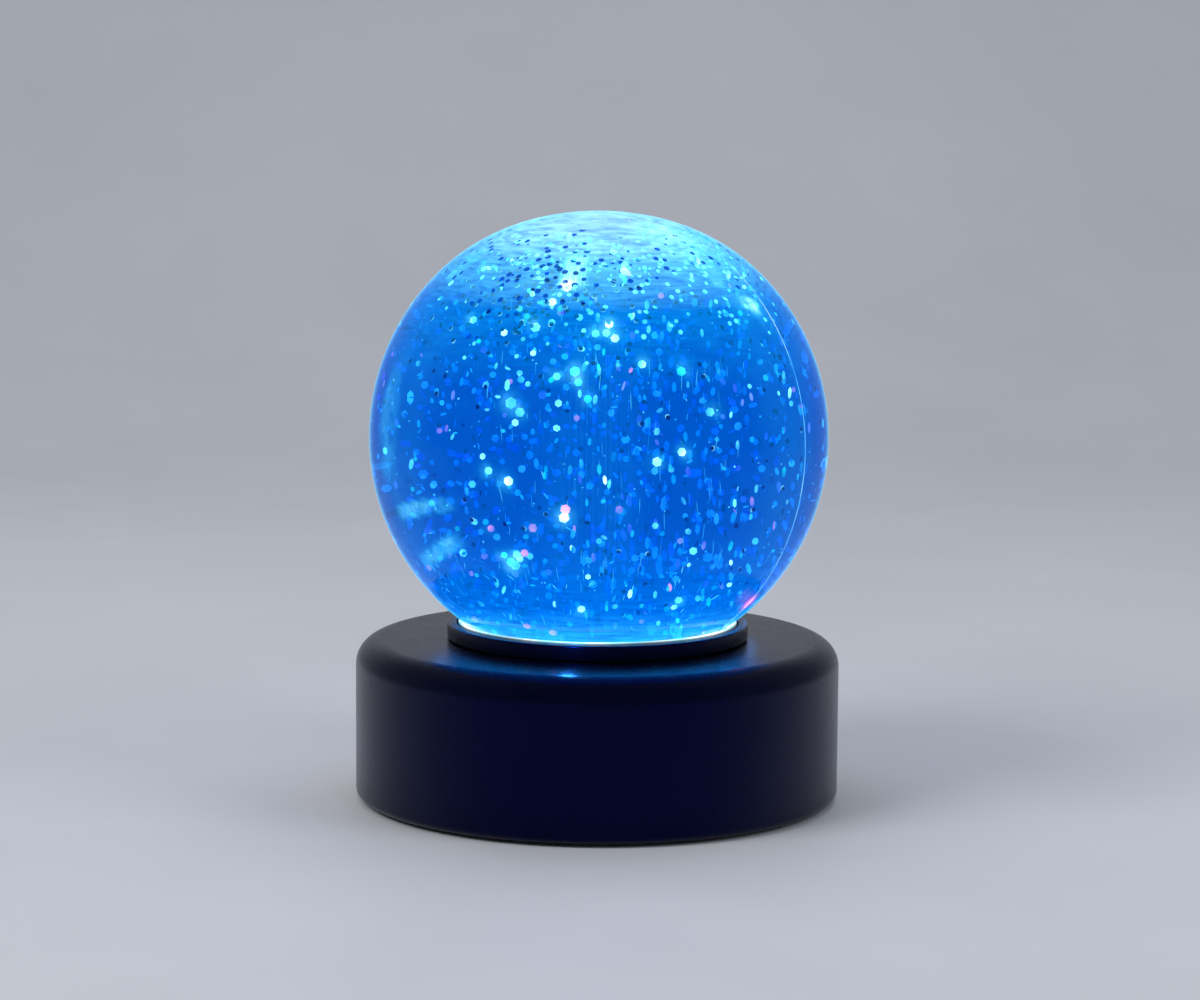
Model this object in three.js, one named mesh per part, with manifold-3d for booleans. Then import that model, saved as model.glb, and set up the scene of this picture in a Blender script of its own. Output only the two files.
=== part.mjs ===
// A battery-powered glitter globe lamp: a clear, liquid-filled globe with swirling glitter, on a round black base.
// A motor in the base turns a magnet carrier, which drags an impeller round inside the sealed globe, and a ring of
// LEDs shines up through the globe's closing plug. Millimetres, +Z up, the origin on the table under the base's axis,
// the front of the lamp facing -Y and its switch facing +Y.
import * as THREE from "three";
import { mergeVertices } from "three/addons/utils/BufferGeometryUtils.js";
import Module from "manifold-3d";

const wasm = await Module();
wasm.setup();

// ---- driving dimensions ----
const GLOBE_R = 60; // outside of the globe
const GLOBE_Z = 95.4; // height of the globe's centre
const GLOBE_WALL = 2;
const POLE_DROP = 1.05; // the crown is a little flatter than a true sphere
const POLE_SPAN = 42; // degrees from the crown over which it flattens
const FILL_GAP = 0.3; // between the liquid's solid and what holds it
const NECK_R = 33.4;
const NECK_BORE = 31;
const NECK_END = 39.6;
const FLANGE_R = 36.4; // of the plug, which clamps the collar against the globe
const FLANGE_Z0 = 38;
const FLANGE_Z1 = 39.3;

const BASE_R = 63.5;
const BASE_Z0 = 0.8; // the feet stand this far proud of the base's rim
const BASE_TOP = 42.4;
const BASE_WALL = 2.6;
const BASE_ROOF = 2.4;
const BASE_TOP_ROUND = 6.7;
const BASE_FOOT_ROUND = 2.2;
const ROOF_HOLE_R = 38.5;

const COLLAR_R = 39.5;
const COLLAR_Z0 = 42.7;
const COLLAR_TOP = 46.6;
const COLLAR_BORE = 37.1;
const COLLAR_SHOULDER_R = 33.9;

const COVER_R = 60.5;
const COVER_T = 2;
const CELL_R = 7.15; // AA cells
const CELL_L = 49.2;
const CELL_NIB_L = 1.2;
const CELL_PITCH = 15;
const CELL_Z = 10.6;
const TRAY_X = 29.6; // half of the battery bay's length inside
const TRAY_Y = 22.8; // half of its width inside
const TRAY_WALL = 1.4;
const TRAY_TOP = 18.2; // underside of the bay's ceiling
const DOOR_X = 29.2;
const DOOR_Y = 23.6;
const DOOR_T = 1.8;

const LED_COUNT = 6;
const LED_START = 20; // degrees from +X to the first LED
const LED_RING_R = 21;
const CUP_SCREW_R = 43.6;
const COVER_SCREW_R = 54.5;
const FOOT_R = 6;
const FOOT_RING_R = 50;
const FOOT_ANGLE = 32;
const MOTOR_R = 12.2;
const SWITCH_Z = 15;
const SWITCH_ON_X = -2.4; // the knob stands at the ON end of its slot

// ---- solids ----
const deg = (d) => (d * Math.PI) / 180;

function solid(geometry) {
  const g = geometry.index ? geometry.toNonIndexed() : geometry;
  const plain = new THREE.BufferGeometry().setAttribute("position", g.getAttribute("position"));
  const merged = mergeVertices(plain, 1e-3);
  const i = merged.index.array;
  const keep = [];
  for (let k = 0; k < i.length; k += 3)
    if (i[k] !== i[k + 1] && i[k + 1] !== i[k + 2] && i[k] !== i[k + 2]) keep.push(i[k], i[k + 1], i[k + 2]);
  const make = (t) =>
    new wasm.Manifold(
      new wasm.Mesh({ numProp: 3, vertProperties: merged.attributes.position.array, triVerts: new Uint32Array(t) }),
    );
  const made = make(keep);
  if (made.volume() > 0) return made;
  for (let k = 0; k < keep.length; k += 3) [keep[k + 1], keep[k + 2]] = [keep[k + 2], keep[k + 1]];
  return make(keep);
}

function geometryOf(manifold) {
  const m = manifold.getMesh();
  const v = new Float32Array(m.numVert * 3);
  for (let k = 0; k < m.numVert; k++) v.set(m.vertProperties.subarray(k * m.numProp, k * m.numProp + 3), k * 3);
  const g = new THREE.BufferGeometry()
    .setAttribute("position", new THREE.BufferAttribute(v, 3))
    .setIndex(new THREE.BufferAttribute(new Uint32Array(m.triVerts), 1));
  g.computeVertexNormals();
  return g;
}

// A body of revolution about Z from [radius, height] points, which start and end on the axis or close on themselves.
function turned(points, segments = 36) {
  const g = new THREE.LatheGeometry(points.map(([r, z]) => new THREE.Vector2(r, z)), segments);
  g.rotateX(Math.PI / 2);
  return solid(g);
}
const ring = (points, segments) => turned([...points, points[0]], segments);

function rod(r, z0, z1, x = 0, y = 0, segments = 20) {
  const g = new THREE.CylinderGeometry(r, r, z1 - z0, segments);
  g.rotateX(Math.PI / 2);
  g.translate(x, y, (z0 + z1) / 2);
  return solid(g);
}

function rodX(r, x0, x1, y, z, segments = 18) {
  const g = new THREE.CylinderGeometry(r, r, x1 - x0, segments);
  g.rotateZ(Math.PI / 2);
  g.translate((x0 + x1) / 2, y, z);
  return solid(g);
}

function block(x0, y0, z0, x1, y1, z1) {
  const g = new THREE.BoxGeometry(x1 - x0, y1 - y0, z1 - z0);
  g.translate((x0 + x1) / 2, (y0 + y1) / 2, (z0 + z1) / 2);
  return solid(g);
}

// A block with rounded upright corners.
function slab(x0, y0, z0, x1, y1, z1, r, steps = 3) {
  const s = new THREE.Shape();
  s.moveTo(x0 + r, y0);
  s.lineTo(x1 - r, y0);
  s.absarc(x1 - r, y0 + r, r, -Math.PI / 2, 0, false);
  s.lineTo(x1, y1 - r);
  s.absarc(x1 - r, y1 - r, r, 0, Math.PI / 2, false);
  s.lineTo(x0 + r, y1);
  s.absarc(x0 + r, y1 - r, r, Math.PI / 2, Math.PI, false);
  s.lineTo(x0, y0 + r);
  s.absarc(x0 + r, y0 + r, r, Math.PI, 1.5 * Math.PI, false);
  const g = new THREE.ExtrudeGeometry(s, { depth: z1 - z0, bevelEnabled: false, curveSegments: steps });
  g.translate(0, 0, z0);
  return solid(g);
}

// A round wire through a list of points.
function wire(points, r, sides = 7, steps = 26) {
  const s = new THREE.Shape();
  for (let k = 0; k < sides; k++) {
    const a = (2 * Math.PI * k) / sides;
    if (k) s.lineTo(r * Math.cos(a), r * Math.sin(a));
    else s.moveTo(r, 0);
  }
  s.closePath();
  const path = new THREE.CatmullRomCurve3(points.map((p) => new THREE.Vector3(...p)));
  return solid(new THREE.ExtrudeGeometry(s, { steps, bevelEnabled: false, extrudePath: path }));
}

const join = (first, ...rest) => rest.reduce((a, b) => a.add(b), first);
const cut = (first, ...rest) => rest.reduce((a, b) => a.subtract(b), first);
const turn = (m, degrees) => m.rotate([0, 0, degrees]);
const arc = (cx, cy, r, from, to, steps) =>
  Array.from({ length: steps + 1 }, (_, k) => {
    const a = deg(from + ((to - from) * k) / steps);
    return [cx + r * Math.cos(a), cy + r * Math.sin(a)];
  });

// ---- materials ----
const mat = (color, roughness, metalness, more = {}) =>
  new THREE.MeshStandardMaterial({ color, roughness, metalness, ...more });
const BLACK = mat(0x0b0b0d, 0.45, 0);
const CLEAR = mat(0x9fd8ff, 0.05, 0, { transparent: true, opacity: 0.35 });
const LIQUID = mat(0x0a6cff, 0.02, 0, { transparent: true, opacity: 0.6, emissive: 0x0650d0 });
const SILICONE = mat(0xd8f4ff, 0.35, 0, { emissive: 0x39b8ff });
const WHITE = mat(0xf0f2f4, 0.4, 0);
const STEEL = mat(0xb8babd, 0.3, 1);
const MAGNET = mat(0x8a8c90, 0.25, 1);
const RUBBER = mat(0x151516, 0.85, 0);
const BOARD = mat(0x1d5c35, 0.45, 0);
const LENS = mat(0xf4f1d8, 0.25, 0, { emissive: 0x2a8cff });
const CELL = mat(0x2b2e33, 0.35, 0.2);
const RED = mat(0xb01818, 0.5, 0);
const DARK = mat(0x161616, 0.5, 0);

const lamp = new THREE.Group();
function put(name, body, material, parent = lamp) {
  const mesh = new THREE.Mesh(geometryOf(body), material);
  mesh.name = name;
  parent.add(mesh);
  return mesh;
}

// ---- the globe ----
// Half of a meridian, from the crown down to a given radius, for a sphere that is flattened at its crown.
function meridian(r, stopRadius, steps) {
  const end = 180 - (Math.asin(stopRadius / r) * 180) / Math.PI;
  return Array.from({ length: steps + 1 }, (_, k) => {
    const t = (end * k) / steps;
    const drop = t < POLE_SPAN ? POLE_DROP * Math.cos(deg((90 * t) / POLE_SPAN)) ** 2 : 0;
    return [k ? (r - drop) * Math.sin(deg(t)) : 0, GLOBE_Z + (r - drop) * Math.cos(deg(t))];
  });
}

const globeShell = turned(
  [
    ...meridian(GLOBE_R, NECK_R, 15),
    [NECK_R, NECK_END],
    [NECK_BORE, NECK_END],
    ...meridian(GLOBE_R - GLOBE_WALL, NECK_BORE, 12).reverse(),
  ],
  36,
);
put("globe_shell", globeShell, CLEAR);

const fillR = GLOBE_R - GLOBE_WALL - FILL_GAP;
const fillNeck = NECK_BORE - FILL_GAP;
put(
  "globe_liquid",
  turned([...meridian(fillR, fillNeck, 12), [fillNeck, 43.7], [12.8, 43.7], [12.8, 50.9], [0, 50.9]], 36),
  LIQUID,
);

put(
  "globe_plug",
  turned(
    [
      [0, 41.6],
      [1.2, 41.6],
      [1.2, 44.6],
      [3.5, 44.6],
      [3.5, 43.4],
      [30.6, 43.4],
      [30.6, 42.8],
      [29.1, 42.8],
      [29.1, 41.2],
      [30.6, 41.2],
      [30.6, FLANGE_Z1],
      [FLANGE_R, FLANGE_Z1],
      [FLANGE_R, FLANGE_Z0],
      [28.4, FLANGE_Z0],
      [28.4, 40.6],
      [0, 40.6],
    ],
    28,
  ),
  CLEAR,
);
put("plug_seal", ring(arc(29.97, 42, 0.6, 0, 360, 6).slice(0, 6), 24), RUBBER);
put("impeller_pin", rod(0.9, 41.9, 49.9, 0, 0, 14), STEEL);

const blade = block(5.4, -0.5, 45.2, 12, 0.5, 48.4);
const hub = ring(
  [
    [1.2, 44.9],
    [2, 44.9],
    [2, 46.8],
    [5.1, 46.8],
    [5.1, 44.9],
    [5.9, 44.9],
    [5.9, 47.9],
    [5, 48.6],
    [1.2, 48.6],
  ],
  20,
);
put("impeller", join(hub, ...[0, 90, 180, 270].map((a) => turn(blade, a))), CLEAR);
put(
  "impeller_magnet",
  ring(
    [
      [2.3, 45],
      [4.8, 45],
      [4.8, 46.5],
      [2.3, 46.5],
    ],
    20,
  ),
  MAGNET,
);
put(
  "impeller_cap",
  turned(
    [
      [0, 50.6],
      [1.4, 50.6],
      [2.2, 49.8],
      [2.2, 48.9],
      [1.2, 48.9],
      [1.2, 50.2],
      [0, 50.2],
    ],
    14,
  ),
  CLEAR,
);

// ---- the collar and its seal ----
put(
  "collar_ring",
  ring(
    [
      [COLLAR_R, COLLAR_Z0],
      [COLLAR_R, COLLAR_TOP - 0.5],
      [COLLAR_R - 0.5, COLLAR_TOP],
      [COLLAR_BORE, COLLAR_TOP],
      [COLLAR_BORE, 43.6],
      [COLLAR_SHOULDER_R, 43.6],
      [COLLAR_SHOULDER_R, 39.6],
      [36.8, 39.6],
      [36.8, 38.4],
      [38.1, 38.4],
      [39.1, 39],
      [39.1, 39.6],
      [38.1, 39.6],
      [38.1, COLLAR_Z0],
    ],
    40,
  ),
  BLACK,
);
put(
  "globe_gasket",
  ring(
    [
      [34.8, 43.9],
      [36.7, 43.9],
      [36.7, 46.4],
      [36.2, 47.1],
      [35.7, 46.9],
      [34.8, 45.9],
    ],
    36,
  ),
  SILICONE,
);

// ---- the base housing ----
const inR = BASE_R - BASE_WALL;
const roofZ = BASE_TOP - BASE_ROOF;
const coverPosts = [45, 135, 225, 315].map((a) => [
  COVER_SCREW_R * Math.cos(deg(a)),
  COVER_SCREW_R * Math.sin(deg(a)),
  a,
]);
const cupPosts = [90, 210, 330].map((a) => [CUP_SCREW_R * Math.cos(deg(a)), CUP_SCREW_R * Math.sin(deg(a)), a]);
let housing = ring(
  [
    ...arc(BASE_R - BASE_FOOT_ROUND, BASE_Z0 + BASE_FOOT_ROUND, BASE_FOOT_ROUND, -90, 0, 2),
    ...arc(BASE_R - BASE_TOP_ROUND, BASE_TOP - BASE_TOP_ROUND, BASE_TOP_ROUND, 0, 90, 5),
    [ROOF_HOLE_R, BASE_TOP],
    [ROOF_HOLE_R, roofZ],
    ...arc(inR - 4.2, roofZ - 4.2, 4.2, 90, 0, 2),
    [inR, BASE_Z0],
  ],
  48,
);
for (const [x, y, a] of coverPosts)
  housing = join(housing, rod(3.4, 3.1, roofZ + 0.5, x, y, 12), turn(block(COVER_SCREW_R + 2, -0.7, 3.1, inR + 0.6, 0.7, 36), a));
for (const [x, y] of cupPosts) housing = join(housing, rod(3.2, 36.6, roofZ + 0.5, x, y, 12));
for (const [x, y] of coverPosts) housing = cut(housing, rod(1.45, 2.9, 15, x, y, 10));
for (const [x, y] of cupPosts) housing = cut(housing, rod(1.45, 36, 41, x, y, 10));
// The switch sits behind a flat recess in the back wall.
housing = cut(
  housing,
  block(-8.5, 62.1, SWITCH_Z - 4.2, 8.5, 66, SWITCH_Z + 4.2),
  block(-4.7, 55, SWITCH_Z - 2.1, 4.7, 66, SWITCH_Z + 2.1),
);
housing = cut(housing, block(-11, 57, SWITCH_Z - 6.5, 11, 60.6, SWITCH_Z + 6.5));
put("base_housing", housing, BLACK);

// ---- light cup, LED board and LEDs ----
let cup = ring(
  [
    [3.4, 32.3],
    [32.2, 32.3],
    [34.2, 34.5],
    [47, 34.5],
    [47, 36.3],
    [36.2, 36.3],
    [36.2, 37.7],
    [33.2, 37.7],
    [30.6, 33.9],
    [3.4, 33.9],
  ],
  28,
);
for (const [x, y] of cupPosts) cup = cut(cup, rod(1.6, 34, 37, x, y, 10));
for (const x of [-8, 8]) cup = cut(cup, rod(1.25, 32, 34.5, x, 0, 10));
cup = cut(cup, rod(1.4, 31, 35, 0, 29.2, 10)); // the LED board's lead goes down here
// Between the three ears the cup's flange is cut back.
for (const a of [30, 150, 270]) cup = cut(cup, turn(block(39.4, -27, 34, 60, 27, 37), a));
put("light_cup", cup, WHITE);

put(
  "led_board",
  cut(
    ring(
      [
        [12.6, 34.2],
        [29.4, 34.2],
        [29.4, 35.7],
        [12.6, 35.7],
      ],
      32,
    ),
    block(-3, 27.2, 33, 3, 31, 37),
  ),
  WHITE,
);
for (let k = 0; k < LED_COUNT; k++) {
  const a = LED_START + (360 / LED_COUNT) * k;
  const body = join(
    block(LED_RING_R - 2.5, -2.5, 36, LED_RING_R + 2.5, 2.5, 37.2),
    rod(2, 37.1, 37.6, LED_RING_R, 0, 12),
  );
  put(`led_${k + 1}`, turn(body, a), LENS);
}

// ---- drive ----
put(
  "motor_can",
  cut(
    ring(
      [
        [1.3, 21.3],
        [MOTOR_R, 21.3],
        [MOTOR_R, 31.4],
        [MOTOR_R - 0.6, 32],
        [3.1, 32],
        [3.1, 33.3],
        [1.3, 33.3],
      ],
      28,
    ),
    rod(1.1, 29, 33, 8, 0, 8),
    rod(1.1, 29, 33, -8, 0, 8),
  ),
  STEEL,
);
put(
  "motor_end_cap",
  cut(
    ring(
      [
        [1.6, 19.8],
        [11.6, 19.8],
        [11.6, 21],
        [1.6, 21],
      ],
      28,
    ),
    block(4.6, 10, 19, 6.4, 13, 22),
    block(-6.4, 10, 19, -4.6, 13, 22),
  ),
  DARK,
);
const drive = new THREE.Group();
lamp.add(drive);
put("motor_shaft", rod(1, 20.1, 38.7, 0, 0, 14), STEEL, drive);
const pocket = (x) => rod(3.3, 36.4, 40, x, 0, 16);
put(
  "magnet_carrier",
  cut(
    ring(
      [
        [1.3, 34.2],
        [3.2, 34.2],
        [3.2, 35.4],
        [9.4, 35.4],
        [9.4, 39],
        [1.3, 39],
      ],
      24,
    ),
    pocket(5.2),
    pocket(-5.2),
  ),
  WHITE,
  drive,
);
put("drive_magnet_1", rod(3, 36.7, 39.1, 5.2, 0, 16), MAGNET, drive);
put("drive_magnet_2", rod(3, 36.7, 39.1, -5.2, 0, 16), MAGNET, drive);

// ---- fasteners ----
// A pan-head screw with a cross recess, driven upwards from its head at z.
function screw(r, headR, headH, length, x, y, z) {
  const blank = turned(
    [
      [0, z],
      [headR * 0.8, z],
      [headR, z + headH * 0.45],
      [headR, z + headH],
      [r, z + headH],
      [r, z + headH + length],
      [0, z + headH + length],
    ],
    10,
  );
  const w = headR * 0.16;
  const l = headR * 0.62;
  return cut(blank, block(-l, -w, z - 1, l, w, z + headH * 0.6), block(-w, -l, z - 1, w, l, z + headH * 0.6)).translate([
    x,
    y,
    0,
  ]);
}
cupPosts.forEach(([x, y], k) => put(`cup_screw_${k + 1}`, screw(1.15, 2.6, 1.6, 5.9, x, y, 32.6), STEEL));
[-8, 8].forEach((x, k) => put(`motor_screw_${k + 1}`, screwDown(x), STEEL));
// The motor's two screws go down through the cup's floor, under the LED board's opening.
function screwDown(x) {
  const m = turned(
    [
      [0, 35.05],
      [1.5, 35.05],
      [1.9, 34.7],
      [1.9, 34.2],
      [0.8, 34.2],
      [0.8, 30.2],
      [0, 30.2],
    ],
    10,
  );
  return cut(m, block(-1.1, -0.25, 34.75, 1.1, 0.25, 36)).translate([x, 0, 0]);
}

// ---- electronics ----
put("control_board", block(-21, 51.7, 7, 21, 53.3, 27), BOARD);
put("switch_body", join(block(-6.4, 53.6, SWITCH_Z - 3.3, 6.4, 58.4, SWITCH_Z + 3.3), block(-8, 58.4, SWITCH_Z - 3.3, 8, 58.9, SWITCH_Z + 3.3)), STEEL);
const slider = new THREE.Group();
lamp.add(slider);
put(
  "switch_slider",
  join(
    block(-3.4, 59.2, SWITCH_Z - 1.8, 3.4, 60.2, SWITCH_Z + 1.8),
    block(-1.9, 60.1, SWITCH_Z - 1.6, 1.9, 62.3, SWITCH_Z + 1.6),
    ...[-1.5, 0, 1.5].map((x) => block(x - 0.4, 62.2, SWITCH_Z - 1.6, x + 0.4, 63.1, SWITCH_Z + 1.6)),
  ).translate([SWITCH_ON_X, 0, 0]),
  DARK,
  slider,
);
put("control_chip", block(11, 49.6, 17.5, 17, 51.4, 23.5), DARK);

// ---- bottom cover with the battery bay ----
const bayX = TRAY_X + TRAY_WALL;
const bayY = TRAY_Y + TRAY_WALL;
const coverTop = BASE_Z0 + COVER_T;
const feet = [FOOT_ANGLE, 180 - FOOT_ANGLE, 180 + FOOT_ANGLE, 360 - FOOT_ANGLE].map((a) => [FOOT_RING_R * Math.cos(deg(a)), FOOT_RING_R * Math.sin(deg(a))]);
const hingeY = -DOOR_Y + DOOR_T / 2;
const hingeZ = BASE_Z0 + DOOR_T / 2;
let cover = join(rod(COVER_R, BASE_Z0, coverTop, 0, 0, 48), slab(-bayX, -bayY, BASE_Z0 + 1, bayX, bayY, TRAY_TOP + 1.3, 2.5, 2));
cover = cut(
  cover,
  block(-TRAY_X, -TRAY_Y, -1, TRAY_X, TRAY_Y, TRAY_TOP),
  block(-DOOR_X - 0.4, -DOOR_Y - 0.3, -1, DOOR_X + 0.4, DOOR_Y + 0.3, coverTop - 0.001),
  rodX(1.05, -bayX - 1.6, bayX + 1.6, hingeY, hingeZ, 14),
);
for (const [x, y] of feet) cover = cut(cover, rod(FOOT_R + 0.35, -1, 1.9, x, y, 20));
for (const [x, y] of coverPosts) cover = cut(cover, rod(1.6, -1, 4, x, y, 10), rod(3.1, -1, 2.1, x, y, 12));
// A slot at each end of the bay for a lead.
cover = cut(cover, block(-bayX - 1, 12, 15.8, -TRAY_X + 1, 16, 19), block(TRAY_X - 1, -17, 15.8, bayX + 1, -13, 19));
put("bottom_cover", cover, BLACK);

const doorGroup = new THREE.Group();
lamp.add(doorGroup);
let door = join(
  block(-DOOR_X, hingeY, BASE_Z0, DOOR_X, DOOR_Y, BASE_Z0 + DOOR_T),
  rodX(DOOR_T / 2, -DOOR_X, DOOR_X, hingeY, hingeZ, 16),
  rodX(0.75, -DOOR_X - 1.7, DOOR_X + 1.7, hingeY, hingeZ, 12),
  block(-6, 21.4, BASE_Z0 + 1, 6, 22.3, 6.4), // the latch's tongue
);
// A finger notch at the free edge.
door = cut(door, slab(-7, DOOR_Y - 3.2, -1, 7, DOOR_Y + 4, BASE_Z0 + 1.1, 3, 3));
for (const y of [-9, -6, -3, 0, 3, 6]) door = cut(door, block(-11, y + 5.2, -1, 11, y + 6, BASE_Z0 + 0.35));
put("battery_door", door, BLACK, doorGroup);

feet.forEach(([x, y], k) => put(`foot_${k + 1}`, rod(FOOT_R, 0, 1.6, x, y, 20), RUBBER));
coverPosts.forEach(([x, y], k) => put(`cover_screw_${k + 1}`, screw(1.15, 2.5, 0.95, 9, x, y, 0.85), STEEL));

// Three cells side by side, the outer two facing one way and the middle one the other.
[-1, 0, 1].forEach((row, k) => {
  const y = row * CELL_PITCH;
  const way = row === 0 ? -1 : 1; // the way the cell's nib faces
  const x0 = way > 0 ? TRAY_X - 1 - CELL_NIB_L - CELL_L : -TRAY_X + 1 + CELL_NIB_L;
  const can = rodX(CELL_R, x0, x0 + CELL_L, y, CELL_Z, 22);
  const nib = way > 0 ? rodX(2.7, x0 + CELL_L - 0.2, x0 + CELL_L + CELL_NIB_L, y, CELL_Z, 12) : rodX(2.7, x0 - CELL_NIB_L, x0 + 0.2, y, CELL_Z, 12);
  put(`battery_${k + 1}`, join(can, nib), CELL);
  // The coil spring that presses on the cell's flat end.
  const from = way > 0 ? x0 - 0.6 : x0 + CELL_L + 0.6;
  const to = way > 0 ? -TRAY_X + 1.4 : TRAY_X - 1.4;
  const turns = 3;
  const n = 30;
  const pts = [];
  for (let j = 0; j <= n; j++) {
    const t = j / n;
    const r = 2.2 + 2.3 * t;
    const a = 2 * Math.PI * turns * t;
    pts.push([from + (to - from) * t, y + r * Math.cos(a), CELL_Z + r * Math.sin(a)]);
  }
  put(`battery_spring_${k + 1}`, wire(pts, 0.35, 4, 28), STEEL);
});
const plate = (x, y0, y1) => slab(y0, 4, 0, y1, 16.4, 0.4, 1.5, 2).rotate([90, 0, 90]).translate([x, 0, 0]);
// Contact plates: a cell's nib and the next cell's spring share one at each end of the bay.
put("contact_plate_1", plate(TRAY_X - 0.7, -20.5, -9.5), STEEL);
put("contact_plate_2", plate(TRAY_X - 0.7, -5.5, 20.5), STEEL);
put("contact_plate_3", plate(-TRAY_X + 0.3, -20.5, 5.5), STEEL);
put("contact_plate_4", plate(-TRAY_X + 0.3, 9.5, 20.5), STEEL);

// ---- leads ----
put("battery_lead_red", wire([[29.3, -15, 17.6], [31.6, -14.6, 17.4], [35, -8, 15], [36, 8, 12], [34, 26, 11], [28, 40, 11], [20, 48, 11.6], [15, 49.8, 12], [14.6, 50.8, 12]], 0.7, 5, 18), RED);
put("battery_lead_black", wire([[-29.3, 14, 17.6], [-31.6, 14.8, 17.4], [-33.4, 24, 15.5], [-30, 36, 13], [-24, 46, 12], [-15, 49.8, 12], [-14.8, 50.8, 12]], 0.7, 5, 15), DARK);
put("motor_lead_red", wire([[5.5, 11.6, 20.4], [6.5, 18, 22], [6.8, 32, 24.5], [5.5, 44, 24.5], [4, 51.3, 24]], 0.6, 5, 10), RED);
put("motor_lead_black", wire([[-5.5, 11.6, 20.4], [-6, 18, 22.2], [-4.8, 32, 24.9], [-2, 44, 24.7], [0, 51.3, 24.2]], 0.6, 5, 10), DARK);
put("led_lead", wire([[0, 28.9, 35], [0, 29.2, 32.6], [-1.5, 32, 29], [-7, 42, 25.5], [-9, 51.3, 24]], 0.75, 5, 10), WHITE);

export default lamp;
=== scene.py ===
# The glitter globe lamp's looks: a clear globe of lit blue liquid and glitter, on a round black base.
import math
import bmesh
import bpy
import numpy as np
from mathutils import Matrix, Vector


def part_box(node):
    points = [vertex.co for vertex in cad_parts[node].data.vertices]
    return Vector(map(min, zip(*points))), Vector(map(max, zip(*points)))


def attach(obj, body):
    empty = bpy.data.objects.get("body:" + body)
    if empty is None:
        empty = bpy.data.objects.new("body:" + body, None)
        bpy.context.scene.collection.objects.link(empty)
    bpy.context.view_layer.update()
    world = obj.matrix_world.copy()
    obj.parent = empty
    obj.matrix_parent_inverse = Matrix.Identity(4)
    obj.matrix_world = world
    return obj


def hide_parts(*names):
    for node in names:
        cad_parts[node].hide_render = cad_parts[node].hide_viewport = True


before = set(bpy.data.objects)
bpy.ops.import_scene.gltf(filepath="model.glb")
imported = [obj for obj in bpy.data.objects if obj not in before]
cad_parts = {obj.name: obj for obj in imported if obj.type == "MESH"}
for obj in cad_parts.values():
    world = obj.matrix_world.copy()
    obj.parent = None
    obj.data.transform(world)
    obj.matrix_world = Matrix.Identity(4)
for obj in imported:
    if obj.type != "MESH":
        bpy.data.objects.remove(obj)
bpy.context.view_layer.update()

MM = 0.001
scene = bpy.context.scene
scene.view_settings.view_transform = "Standard"
scene.view_settings.look = "None"

# ---------------------------------------------------------------- camera
ELEV, DIST, LENS = math.radians(7.4), 0.92017, 105.34
TARGET = Vector((0, 0, 0.08))
cam_data = bpy.data.cameras.new("camera")
cam = bpy.data.objects.new("camera", cam_data)
scene.collection.objects.link(cam)
scene.camera = cam
cam_data.sensor_width = 36
cam_data.lens = LENS
cam_data.shift_x, cam_data.shift_y = 1.55 / 1200, -4.76 / 1200
cam_data.clip_start, cam_data.clip_end = 0.01, 20
back = Vector((0, -math.cos(ELEV), math.sin(ELEV)))
cam.location = TARGET + back * DIST
cam.rotation_mode = "QUATERNION"
look = (-back).to_track_quat("-Z", "Y").to_matrix().to_4x4() @ Matrix.Rotation(math.radians(0.4), 4, "Z")
cam.rotation_quaternion = look.to_quaternion()

# ---------------------------------------------------------------- dimensions; the globe's are given, and the CAD boxes read here are not used
shell_lo, shell_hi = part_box("globe_shell")
house_lo, house_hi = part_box("base_housing")
GR = 60.0
GZ = 95.4
POLE_DROP, POLE_SPAN = 1.05, 42.0


# ---------------------------------------------------------------- mesh helpers
def add(name, verts, faces, mats, index=None, smooth=True, angle=35):
    me = bpy.data.meshes.new(name)
    me.from_pydata([tuple(v) for v in verts], [], faces)
    for m in mats if isinstance(mats, (list, tuple)) else [mats]:
        me.materials.append(m)
    if index is not None:
        me.polygons.foreach_set("material_index", np.array(index, np.int32))
    me.update()
    ob = bpy.data.objects.new(name, me)
    scene.collection.objects.link(ob)
    bm = bmesh.new()
    bm.from_mesh(me)
    bmesh.ops.recalc_face_normals(bm, faces=bm.faces)
    bm.to_mesh(me)
    bm.free()
    if smooth:
        me.polygons.foreach_set("use_smooth", np.ones(len(me.polygons), bool))
        me.set_sharp_from_angle(angle=math.radians(angle))
    return ob


def revolve(profile, longitudes, bump=None):
    """A closed mesh from [r, z] points in mm round the Z axis. Points at r = 0 become one vertex. bump(longitude, r, z) moves a point outward."""
    verts, rows = [], []
    for r, z in profile:
        if r < 1e-9:
            rows.append([len(verts)])
            verts.append((0, 0, z * MM))
        else:
            row = []
            for a in longitudes:
                rr = r + (bump(a, r, z) if bump else 0)
                row.append(len(verts))
                verts.append((rr * math.cos(a) * MM, rr * math.sin(a) * MM, z * MM))
            rows.append(row)
    faces = []
    n = len(longitudes)
    closed = profile[0][0] > 1e-9
    pairs = list(zip(rows, rows[1:])) + ([(rows[-1], rows[0])] if closed else [])
    for a, b in pairs:
        if len(a) == 1 and len(b) == 1:
            continue
        for k in range(n):
            j = (k + 1) % n
            if len(a) == 1:
                faces.append((a[0], b[k], b[j]))
            elif len(b) == 1:
                faces.append((a[k], b[0], a[j]))
            else:
                faces.append((a[k], b[k], b[j], a[j]))
    return verts, faces


def turns(n):
    return [2 * math.pi * k / n for k in range(n)]


def arc(cx, cy, r, a0, a1, n):
    return [
        (cx + r * math.cos(math.radians(a0 + (a1 - a0) * k / n)), cy + r * math.sin(math.radians(a0 + (a1 - a0) * k / n)))
        for k in range(n + 1)
    ]


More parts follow.
